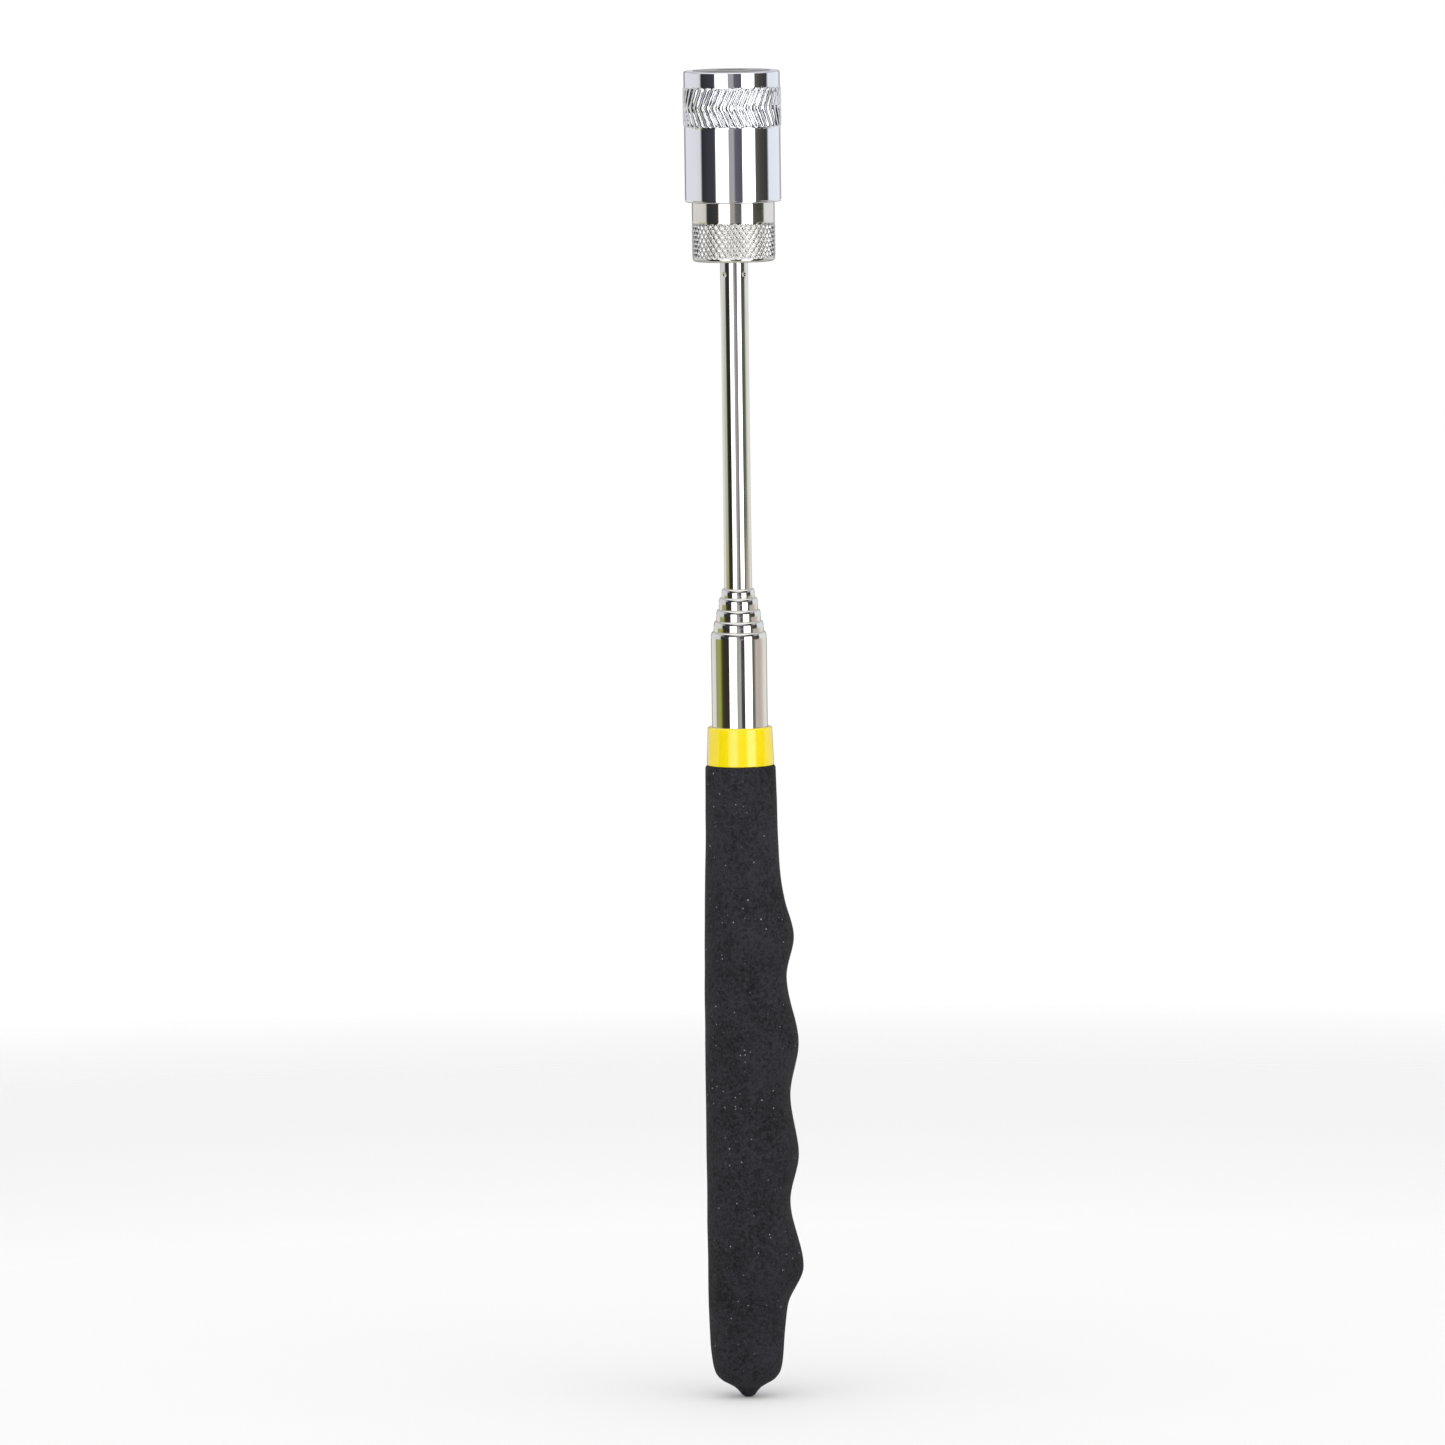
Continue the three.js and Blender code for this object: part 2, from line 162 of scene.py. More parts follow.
# Closed-cell rubber foam, moulded: dull charcoal, mottled by the cells under its thin skin, with a few
# pale specks of release powder in the pores. The grain is drawn a little coarser than the real 0.2 mm.
def foamMaterial():
    look = dict(color="2a2a2f", deep="101013", toneFrom=0.62, grain=0.38, cell=0.6, cellStrength=0.22,
                cloud=8.0, cloudStrength=0.5, speck="a4a4a8", speckCell=1.0, speckShare=0.45,
                speckCore=0.06, speckEdge=0.16, fuzz="b8b8bc", roughness=0.9)
    material, tree, shader, place = startMaterial("mouldedRubberFoam")
    grain = addNode(tree, "ShaderNodeTexNoise",
                    {"Scale": 1 / (look["grain"] * mm), "Detail": 3.0, "Roughness": 0.6}, {"Vector": place})
    foamCells = addNode(tree, "ShaderNodeTexVoronoi",
                        {"feature": "F1", "Scale": 1 / (look["cell"] * mm), "Randomness": 1.0},
                        {"Vector": place})
    cellTone = addNode(tree, "ShaderNodeSeparateColor", links={"Color": foamCells.outputs["Color"]})
    cloud = addNode(tree, "ShaderNodeTexNoise",
                    {"Scale": 1 / (look["cloud"] * mm), "Detail": 2.0}, {"Vector": place})
    mottle = addNode(tree, "ShaderNodeMath", {"operation": "MULTIPLY_ADD", 1: look["cellStrength"]},
                     {0: cellTone.outputs[0], 2: grain.outputs["Fac"]})
    tone = addNode(tree, "ShaderNodeMath", {"operation": "MULTIPLY_ADD", 1: look["cloudStrength"]},
                   {0: cloud.outputs["Fac"], 2: mottle.outputs[0]})
    base = addNode(tree, "ShaderNodeValToRGB", links={"Fac": tone.outputs[0]})
    setRamp(base, [(look["toneFrom"], linearColor(look["deep"])), (1.0, linearColor(look["color"]))])
    # specks: the middle of a share of the cells of a coarser pattern, each with a strength of its own
    spots = addNode(tree, "ShaderNodeTexVoronoi",
                    {"feature": "F1", "Scale": 1 / (look["speckCell"] * mm), "Randomness": 1.0},
                    {"Vector": place})
    chosen = addNode(tree, "ShaderNodeSeparateColor", links={"Color": spots.outputs["Color"]})
    picked = addNode(tree, "ShaderNodeMath", {"operation": "LESS_THAN", 1: look["speckShare"]},
                     {0: chosen.outputs[0]})
    near = addNode(tree, "ShaderNodeMapRange",
                   {"From Min": look["speckCore"], "From Max": look["speckEdge"], "To Min": 1.0,
                    "To Max": 0.0}, {"Value": spots.outputs["Distance"]})
    speck = addNode(tree, "ShaderNodeMath", {"operation": "MULTIPLY"},
                    {0: picked.outputs[0], 1: near.outputs[0]})
    power = addNode(tree, "ShaderNodeMath", {"operation": "POWER", 1: 2.0}, {0: chosen.outputs[1]})
    strength = addNode(tree, "ShaderNodeMath", {"operation": "MULTIPLY"},
                       {0: speck.outputs[0], 1: power.outputs[0]})
    color = addNode(tree, "ShaderNodeMix", {"data_type": "RGBA", 7: linearColor(look["speck"])},
                    {0: strength.outputs[0], 6: base.outputs["Color"]})
    relief = addNode(tree, "ShaderNodeMath", {"operation": "ADD"},
                     {0: grain.outputs["Fac"], 1: foamCells.outputs["Distance"]})
    bump = addNode(tree, "ShaderNodeBump", {"Strength": 0.7, "Distance": 0.1 * mm},
                   {"Height": relief.outputs[0]})
    tree.links.new(color.outputs[2], shader.inputs["Base Color"])
    tree.links.new(bump.outputs["Normal"], shader.inputs["Normal"])
    shader.inputs["Roughness"].default_value = look["roughness"]
    shader.inputs["Specular IOR Level"].default_value = 0.22
    shader.inputs["Sheen Weight"].default_value = 0.04  # the skin's fine fuzz, seen at the outline
    shader.inputs["Sheen Roughness"].default_value = 0.5
    shader.inputs["Sheen Tint"].default_value = linearColor(look["fuzz"])
    return material


# Injection-moulded ABS: an even, glossy yellow with a faint flow ripple.
def collarMaterial():
    look = dict(color="e4ce0a", shade="dcc505", roughness=0.16, ripple=3.0)
    material, tree, shader, place = startMaterial("glossyMouldedAbs")
    ripple = addNode(tree, "ShaderNodeTexNoise",
                     {"Scale": 1 / (look["ripple"] * mm), "Detail": 2.0}, {"Vector": place})
    color = addNode(tree, "ShaderNodeMix",
                    {"data_type": "RGBA", 6: linearColor(look["shade"]), 7: linearColor(look["color"])},
                    {0: ripple.outputs["Fac"]})
    bump = addNode(tree, "ShaderNodeBump", {"Strength": 0.12, "Distance": 0.05 * mm},
                   {"Height": ripple.outputs["Fac"]})
    tree.links.new(color.outputs[2], shader.inputs["Base Color"])
    tree.links.new(bump.outputs["Normal"], shader.inputs["Normal"])
    shader.inputs["Roughness"].default_value = look["roughness"]
    shader.inputs["IOR"].default_value = 1.53
    shader.inputs["Specular IOR Level"].default_value = 0.45
    shader.inputs["Coat Weight"].default_value = 0.5
    shader.inputs["Coat Roughness"].default_value = 0.06
    return material


# A plated or polished metal: a tint, a roughness that wanders a little, and fine lines that run
# round the work from turning (across the axis) or along it from drawing.
def polishedMetal(name, look):
    material, tree, shader, place = startMaterial(name)
    stretch = addNode(tree, "ShaderNodeMapping", {"Scale": look["lines"]}, {"Vector": place})
    lines = addNode(tree, "ShaderNodeTexNoise", {"Scale": 1 / mm, "Detail": 2.0},
                    {"Vector": stretch.outputs[0]})
    smudge = addNode(tree, "ShaderNodeTexNoise", {"Scale": 1 / (look["smudge"] * mm), "Detail": 3.0},
                     {"Vector": place})
    roughness = addNode(tree, "ShaderNodeMapRange",
                        {"From Min": 0.35, "From Max": 0.75, "To Min": look["roughness"][0],
                         "To Max": look["roughness"][1]}, {"Value": smudge.outputs["Fac"]})
    color = addNode(tree, "ShaderNodeMix",
                    {"data_type": "RGBA", 6: linearColor(look["shade"]), 7: linearColor(look["color"])},
                    {0: smudge.outputs["Fac"]})
    bump = addNode(tree, "ShaderNodeBump", {"Strength": look["relief"], "Distance": 0.01 * mm},
                   {"Height": lines.outputs["Fac"]})
    tree.links.new(color.outputs[2], shader.inputs["Base Color"])
    tree.links.new(roughness.outputs[0], shader.inputs["Roughness"])
    tree.links.new(bump.outputs["Normal"], shader.inputs["Normal"])
    shader.inputs["Metallic"].default_value = 1.0
    return material


# Turned, drawn or moulded surfaces that show when the tool is taken apart: two shades of one colour,
# drawn out along or across the axis by the way the piece was made, and a wandering gloss.
def innerMaterial(name, look):
    material, tree, shader, place = startMaterial(name)
    stretch = addNode(tree, "ShaderNodeMapping", {"Scale": look["stretch"]}, {"Vector": place})
    mottle = addNode(tree, "ShaderNodeTexNoise", {"Scale": 1 / (look["grain"] * mm), "Detail": 3.0},
                     {"Vector": stretch.outputs[0]})
    color = addNode(tree, "ShaderNodeMix",
                    {"data_type": "RGBA", 6: linearColor(look["colors"][1]),
                     7: linearColor(look["colors"][0])},
                    {0: mottle.outputs["Fac"]})
    gloss = addNode(tree, "ShaderNodeMapRange",
                    {"From Min": 0.3, "From Max": 0.7, "To Min": 0.8 * look["roughness"],
                     "To Max": 1.25 * look["roughness"]}, {"Value": mottle.outputs["Fac"]})
    bump = addNode(tree, "ShaderNodeBump", {"Strength": 0.25, "Distance": 0.02 * mm},
                   {"Height": mottle.outputs["Fac"]})
    tree.links.new(color.outputs[2], shader.inputs["Base Color"])
    tree.links.new(gloss.outputs[0], shader.inputs["Roughness"])
    tree.links.new(bump.outputs["Normal"], shader.inputs["Normal"])
    shader.inputs["Metallic"].default_value = look["metallic"]
    return material


# Cast epoxy: water clear and glossy, with the faintest cloud in its tint.
def epoxyMaterial():
    look = dict(color="fbfcfb", cloud="f4f6f2", cloudSize=1.5, roughness=0.03)
    material, tree, shader, place = startMaterial("castClearEpoxy")
    cloud = addNode(tree, "ShaderNodeTexNoise", {"Scale": 1 / (look["cloudSize"] * mm), "Detail": 2.0},
                    {"Vector": place})
    color = addNode(tree, "ShaderNodeMix",
                    {"data_type": "RGBA", 6: linearColor(look["cloud"]), 7: linearColor(look["color"])},
                    {0: cloud.outputs["Fac"]})
    tree.links.new(color.outputs[2], shader.inputs["Base Color"])
    shader.inputs["Roughness"].default_value = look["roughness"]
    shader.inputs["IOR"].default_value = 1.53
    shader.inputs["Transmission Weight"].default_value = 1.0
    return material


# Gives a piece carried over from the frame its finish.
def dressNode(node, material):
    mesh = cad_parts[node].data
    mesh.materials.clear()
    mesh.materials.append(material)


foam = foamMaterial()
yellowAbs = collarMaterial()
# decorative chrome over brass: blue-white, mirror bright
chrome = polishedMetal("brightChromePlate", dict(
    color="f4f6fa", shade="eceef3", roughness=(0.02, 0.045), lines=(0.6, 0.6, 6.0), smudge=5.0, relief=0.05))
# nickel plate over turned brass: a shade warmer and softer
nickel = polishedMetal("brightNickelPlate", dict(
    color="efece4", shade="e2ded3", roughness=(0.04, 0.08), lines=(0.6, 0.6, 6.0), smudge=4.0, relief=0.06))
# the rolled teeth keep a finer, duller skin than the polished bands
knurledChrome = polishedMetal("chromedKnurl", dict(
    color="f2f3f6", shade="e0e2e8", roughness=(0.10, 0.18), lines=(1.0, 1.0, 1.0), smudge=1.5, relief=0.1))
knurledNickel = polishedMetal("nickelledKnurl", dict(
    color="eae9e6", shade="d6d4d0", roughness=(0.12, 0.2), lines=(1.0, 1.0, 1.0), smudge=1.5, relief=0.1))
# stainless tube, drawn and polished: the faint lines run along it
tubeSteel = polishedMetal("polishedStainlessTube", dict(
    color="eeede8", shade="e0deda", roughness=(0.035, 0.07), lines=(5.0, 5.0, 0.15), smudge=6.0, relief=0.03))
# dull nickel plate over the sintered ring: greyer and cloudier than the turned parts
magnetPlate = polishedMetal("nickelPlatedMagnet", dict(
    color="b0aea8", shade="908e88", roughness=(0.2, 0.4), lines=(1.0, 1.0, 1.0), smudge=1.3, relief=0.25))
# tinned copper alloy, stamped: bright but soft
tinnedLead = polishedMetal("tinnedLead", dict(
    color="dcdcd8", shade="c8c8c4", roughness=(0.14, 0.22), lines=(1.0, 1.0, 1.0), smudge=1.0, relief=0.1))
clearEpoxy = epoxyMaterial()
# ceramic phosphor paste over the chip: a matt yellow dot
phosphor = innerMaterial("phosphorPaste", dict(
    colors=("ecd24e", "dcbc36"), grain=0.2, stretch=(1.0, 1.0, 1.0), roughness=0.6, metallic=0.0))

print("foam grip")
grip = dict(
    back=[(0, 0), (0.1, 0.7), (0.3, 1.1), (1.0, 1.65), (1.7, 2.35), (2.4, 3.5), (3.0, 4.6), (3.6, 5.3),
          (4.6, 5.95), (6.2, 6.35), (10, 6.75), (20, 7.0), (60, 7.0), (86, 6.8), (98, 6.5), (114.3, 6.3)],
    fingers=[(0, 0), (0.1, 0.7), (0.3, 1.1), (1.0, 1.65), (1.7, 2.3), (2.4, 3.4), (3.0, 4.5), (3.6, 5.15),
             (4.6, 5.8), (6.2, 6.2), (10, 6.6), (13, 6.85), (16.6, 7.3), (23.6, 10.2), (35.3, 8.0),
             (43.9, 9.6), (54.4, 8.2), (63.9, 9.8), (76, 7.8), (83.2, 9.2), (90, 7.6), (94, 7.0), (98, 6.7),
             (114.3, 6.3)],
    swellSpread=1.15, rimRounding=0.5, boreRadius=5.05, boreFoot=8.8, mouthRadius=5.65, mouthDepth=4.0,
    rowSpacing=0.55, steps=144, waver=0.07, waverSize=7.0,
)


# A smooth curve through (height, radius) points that never overshoots them.
def smoothThrough(keys):
    rises = [(b[1] - a[1]) / (b[0] - a[0]) for a, b in zip(keys, keys[1:])]
    slopes = [rises[0]] + [0 if p * q <= 0 else 2 * p * q / (p + q) for p, q in zip(rises, rises[1:])]
    slopes.append(rises[-1])

    def radiusAt(z):
        i = max(0, min(len(keys) - 2, sum(1 for k in keys if k[0] < z) - 1))
        span = keys[i + 1][0] - keys[i][0]
        t = (z - keys[i][0]) / span
        return (keys[i][1] * (1 + 2 * t) * (1 - t) ** 2 + slopes[i] * span * t * (1 - t) ** 2
                + keys[i + 1][1] * t * t * (3 - 2 * t) + slopes[i + 1] * span * t * t * (t - 1))
    return radiusAt


def makeGrip():
    foot, top = footAndTop("foam_grip")
    backRadius, fingerRadius = smoothThrough(grip["back"]), smoothThrough(grip["fingers"])
    heights = [0.1, 0.2, 0.3, 0.5, 0.75, 1.0, 1.35, 1.7, 2.05, 2.4, 2.7, 3.0, 3.3, 3.6, 4.1, 4.6, 5.2, 6.2]
    rowCount = round((top - 7) / grip["rowSpacing"])
    heights += [7 + (top - 7) * i / rowCount for i in range(rowCount)]
    corners = [(0, 0)] + [(backRadius(z), z) for z in heights]
    corners += [(backRadius(top), top, grip["rimRounding"]), (grip["mouthRadius"], top, 0.15),
                (grip["mouthRadius"], top - grip["mouthDepth"]),
                (grip["boreRadius"], top - grip["mouthDepth"]),
                (grip["boreRadius"], grip["boreFoot"]), (0, grip["boreFoot"])]
    bm = turnProfile(corners, grip["steps"], closed=False)
    for vert in bm.verts:
        z = aboveTip(vert.co.z)
        radius = math.hypot(vert.co.x, vert.co.y) / mm
        if radius < 0.01 or (radius < grip["mouthRadius"] + 0.05 and z > grip["boreFoot"] - 0.1):
            continue
        side = ((1 + vert.co.x / mm / radius) / 2) ** grip["swellSpread"]
        swell = side * (fingerRadius(z) - backRadius(z))
        lumps = noise.noise(vert.co / (grip["waverSize"] * mm)) * grip["waver"] * smoothStep(2, 12, z)
        lumps *= 1 - smoothStep(top - 3, top, z)
        scale = (radius + swell + lumps) / radius
        vert.co.x *= scale
        vert.co.y *= scale
    piece = finishPiece("gripFoam", bm, foam, "handle", ["foam_grip"])


makeGrip()


print("collar and mast")
collar = dict(footRadius=6.05, topRadius=5.78, spigotRadius=5.6, gap=0.05, bore=5.05, edge=0.3, steps=128)


def makeCollar():
    foot, top = footAndTop("collar")
    seat = footAndTop("foam_grip")[1] + collar["gap"]
    bm = turnProfile([
        (collar["bore"], foot), (collar["spigotRadius"], foot, 0.15), (collar["spigotRadius"], seat),
        (collar["footRadius"], seat, 0.12), (collar["topRadius"], top, collar["edge"]),
        (collar["bore"], top, 0.12)], collar["steps"])
    finishPiece("mouthCollar", bm, yellowAbs, "handle", ["collar"])


mast = dict(widest=5.0, step=0.5, wall=0.25, play=0.05, lip=0.4, taper=1.3, bead=0.12, beadHeight=0.5,
            beadFoot=0.5, springFoot=-0.02, springLength=6.2, steps=112)
crimp = dict(drop=2.4, depth=0.09, size=0.34, row=0.09, rowsEachWay=12, firstAngle=45, places=4)


def tubeRadius(number):
    return mast["widest"] - (6 - number) * mast["step"]


# The mouth of a tube, rolled in to guide the next one: (inward from the outside, drop from the top)
# points of the shoulder, which leans in gently, runs straight for a moment and turns over to the lip.
mouthShoulder = [(0, 1.1), (0.003, 0.98), (0.013, 0.84), (0.03, 0.7), (0.053, 0.58), (0.08, 0.47),
                 (0.104, 0.36), (0.13, 0.25), (0.158, 0.17), (0.195, 0.105), (0.245, 0.055), (0.31, 0.02),
                 (0.38, 0.004)]


def rolledMouth(radius, top):
    lip = radius - mast["step"] + mast["play"]
    corners = [(radius - inward, top - drop) for inward, drop in mouthShoulder]
    return corners + [(lip, top), (lip, top - mast["lip"]), (radius - mast["wall"], top - mast["taper"])]


def beadedFoot(number, foot):
    radius = tubeRadius(number)
    bead = foot + mast["springFoot"] + mast["springLength"] + mast["beadFoot"]
    return [(radius - mast["wall"], foot), (radius, foot), (radius, bead),
            (radius + mast["bead"], bead + 0.2 * mast["beadHeight"]),
            (radius + mast["bead"], bead + 0.8 * mast["beadHeight"]), (radius, bead + mast["beadHeight"])]


def makeTube(number, body):
    node = "tube_" + str(number)
    foot, top = footAndTop(node)
    radius = tubeRadius(number)
    start = [(radius - mast["wall"], foot), (radius, foot)] if number == 6 else beadedFoot(number, foot)
    bm = turnProfile(start + rolledMouth(radius, top), mast["steps"])
    finishPiece("mastTube" + str(number), bm, tubeSteel, body, [node])


# the thinnest tube ends in the cap and is crimped to the plug inside it in four places
def makeThinTube():
    foot, top = footAndTop("tube_1")
    radius = tubeRadius(1)
    crimpHeight = footAndTop("switch_cap")[0] - crimp["drop"]
    reach = crimp["rowsEachWay"]
    rows = [(radius, crimpHeight + crimp["row"] * i) for i in range(-reach, reach + 1)]
    ends = [(radius, top), (radius - mast["wall"], top)]
    bm = turnProfile(beadedFoot(1, foot) + rows + ends, mast["steps"])
    for vert in bm.verts:
        if abs(aboveTip(vert.co.z) - crimpHeight) > crimp["row"] * (reach + 0.5):
            continue
        for place in range(crimp["places"]):
            angle = math.radians(crimp["firstAngle"]) + 2 * math.pi * place / crimp["places"]
            centre = Vector((radius * mm * math.cos(angle), radius * mm * math.sin(angle),
                             tipHeight + crimpHeight * mm))
            away = (vert.co - centre).length / mm / crimp["size"]
            depth = crimp["depth"] * math.exp(-away ** 4)
            vert.co.x -= depth * mm * math.cos(angle)
            vert.co.y -= depth * mm * math.sin(angle)
    finishPiece("mastTube1", bm, tubeSteel, "section_1", ["tube_1"])


makeCollar()
makeTube(6, "handle")
for number in (5, 4, 3, 2):
    makeTube(number, "section_" + str(number))
makeThinTube()


print("switch cap")
cap = dict(radius=7.4, corner=0.6, teeth=43, perTooth=8, rows=32, depth=0.34, proud=0.06,
           bandFoot=0.62, bandTop=6.95, runOut=0.3, shoulder=10.6, neckInset=0.25, grooveInset=0.5,
           grooveFoot=0.75, grooveTop=1.45, threadFoot=1.5, threadRadius=7.2, threadPitch=0.75,
           threadDepth=0.16, threadTurns=6, bore=6.3, floor=1.8, tubeBore=2.55, tubeSeat=0.65, screwBore=1.6)
knurlReach = 7.1  # both knurls lie further out than this from the axis
knurlCrease = 24  # an edge that turns by more degrees than this stays sharp


# How deep a straight-sided groove is at a place across its pitch: 1 on the groove, 0 past its flanks.
def grooveShape(across, width=0.375):
    away = abs((across + 0.5) % 1 - 0.5)
    return max(0.0, 1 - away / width)


# Splits each four-cornered face of a knurl along the way that its groove runs.
def splitAlongGrooves(bm, low, high):
    for face in bm.faces[:]:
        middle = face.calc_center_median()
        outside = math.hypot(middle.x, middle.y) > knurlReach * mm
        if len(face.verts) != 4 or not outside or not low < aboveTip(middle.z) < high:
            continue
        face.material_index = 1
        a, b, c, d = face.verts
        radii = [math.hypot(v.co.x, v.co.y) for v in (a, b, c, d)]
        if abs(radii[0] - radii[2]) < abs(radii[1] - radii[3]):
            bmesh.utils.face_split(face, a, c)
        else:
            bmesh.utils.face_split(face, b, d)


def makeCap():
    foot, top = footAndTop("switch_cap")
    low, high = foot + cap["bandFoot"], foot + cap["bandTop"]
    radius = cap["radius"]
    rowHeight = (high - low) / cap["rows"]
    band = [(radius, low + rowHeight * i) for i in range(cap["rows"] + 1)]
    shoulder = foot + cap["shoulder"]
    neck, groove = cap["threadRadius"] - cap["neckInset"], cap["threadRadius"] - cap["grooveInset"]
    corners = [(cap["tubeBore"], foot, 0.1), (radius, foot, cap["corner"])] + band
    corners += [(radius, high + 0.25), (radius, shoulder, 0.1), (neck, shoulder)]
    corners += [(neck, shoulder + cap["grooveFoot"] - 0.05), (groove, shoulder + cap["grooveFoot"]),
                (groove, shoulder + cap["grooveTop"])]
    threadFoot = shoulder + cap["threadFoot"]
    for i in range(cap["threadTurns"]):
        z = threadFoot + i * cap["threadPitch"]
        corners += [(cap["threadRadius"] - cap["threadDepth"], z),
                    (cap["threadRadius"], z + 0.5 * cap["threadPitch"], 0.08)]
    threadTop = threadFoot + cap["threadTurns"] * cap["threadPitch"]
    corners += [(cap["threadRadius"] - cap["threadDepth"], threadTop),
                (cap["threadRadius"] - 0.2, top), (cap["bore"], top, 0.1), (cap["bore"], foot + cap["floor"]),
                (cap["screwBore"], foot + cap["floor"]), (cap["screwBore"], foot + cap["tubeSeat"]),
                (cap["tubeBore"], foot + cap["tubeSeat"])]
    bm = turnProfile(corners, cap["teeth"] * cap["perTooth"])
    diamond = rowHeight * cap["perTooth"]  # so that the grooves run through the mesh's corners
    for vert in bm.verts:
        z = aboveTip(vert.co.z)
        here = math.hypot(vert.co.x, vert.co.y) / mm
        if not (low - 0.01 < z < high + 0.01) or here < radius - 0.01:
            continue
        across = math.atan2(vert.co.y, vert.co.x) / (2 * math.pi) * cap["teeth"]
        along = (z - low) / diamond
        groove = max(grooveShape(across + along), grooveShape(across - along))
        fade = smoothStep(low - 0.01, low + cap["runOut"], z)
        fade *= 1 - smoothStep(high - cap["runOut"], high + 0.01, z)
        grown = here + fade * (cap["proud"] - cap["depth"] * groove)
        vert.co.x *= grown / here
        vert.co.y *= grown / here
    splitAlongGrooves(bm, low, high)
    finishPiece("switchCap", bm, [nickel, knurledNickel], "section_1", ["switch_cap"],
                knurlCrease)


print("head sleeve")
sleeve = dict(radius=8.6, teeth=40, perTooth=8, rows=20, bandFoot=13.35, bandTop=20.55, runOut=0.45,
              proud=0.2, deep=0.36, faint=0.03, grooveWidth=0.33, blendHeight=1.2, threadBore=7.35, waist=6.6,
              pocket=7.05, waistFoot=7.0, pocketFoot=11.15)


def makeSleeve():
    foot, top = footAndTop("head_sleeve")
    low, high = foot + sleeve["bandFoot"], foot + sleeve["bandTop"]
    middle, radius = (low + high) / 2, sleeve["radius"]
    rowHeight = (high - low) / sleeve["rows"]
    band = [(radius, low + rowHeight * i) for i in range(sleeve["rows"] + 1)]
    edges = [(radius, low - 0.2)] + [(radius, low + rowHeight * f) for f in (0.25, 0.5, 0.75)]
    band = sorted(band + edges + [(radius, high - rowHeight * f) for f in (0.25, 0.5, 0.75)]
                  + [(radius, high + 0.2)], key=lambda c: c[1])
    corners = [(sleeve["threadBore"], foot, 0.08), (radius, foot, 0.22)] + band
    pocketFoot, waistFoot = foot + sleeve["pocketFoot"], foot + sleeve["waistFoot"]
    corners += [(radius, top, 0.4), (sleeve["pocket"], top, 0.2), (sleeve["pocket"], pocketFoot),
                (sleeve["waist"], pocketFoot), (sleeve["waist"], waistFoot),
                (sleeve["threadBore"], waistFoot)]
    bm = turnProfile(corners, sleeve["teeth"] * sleeve["perTooth"])
    shift = rowHeight * sleeve["perTooth"]  # height over which a groove moves on by one tooth
    for vert in bm.verts:
        z = aboveTip(vert.co.z)
        here = math.hypot(vert.co.x, vert.co.y) / mm
        if not (low - 0.01 < z < high + 0.01) or here < radius - 0.01:
            continue
        across = math.atan2(vert.co.y, vert.co.x) / (2 * math.pi) * sleeve["teeth"]
        along = (z - middle) / shift
        upper = smoothStep(-sleeve["blendHeight"] / 2, sleeve["blendHeight"] / 2, z - middle)
        gain = (sleeve["deep"] - sleeve["faint"]) * upper
        rising = grooveShape(across - along, sleeve["grooveWidth"]) * (sleeve["faint"] + gain)
        falling = grooveShape(across + along, sleeve["grooveWidth"]) * (sleeve["deep"] - gain)
        fade = smoothStep(low - 0.01, low + sleeve["runOut"], z)
        fade *= 1 - smoothStep(high - sleeve["runOut"], high + 0.01, z)
        grown = here + fade * (sleeve["proud"] - max(rising, falling))
        vert.co.x *= grown / here
        vert.co.y *= grown / here
    splitAlongGrooves(bm, low, high)
    finishPiece("headSleeve", bm, [chrome, knurledChrome], "head", ["head_sleeve"], knurlCrease)


makeCap()
makeSleeve()

print("magnet and lamp")
magnet = dict(radius=6.95, bore=2.75, edge=0.25, steps=128)


def makeMagnet():
    foot, top = footAndTop("magnet")
    bm = turnProfile([
        (magnet["bore"], foot, 0.1), (magnet["radius"], foot, magnet["edge"]),
        (magnet["radius"], top, magnet["edge"]), (magnet["bore"], top, magnet["edge"])], magnet["steps"])
    finishPiece("ringMagnet", bm, magnetPlate, "head", ["magnet"])


lamp = dict(radius=2.5, flange=2.9, flangeHeight=1.0, steps=64, postRadius=0.62, cupHeight=3.2,
            legWidth=0.5, legGap=2.54, anvilReach=0.75, phosphorRadius=0.42)


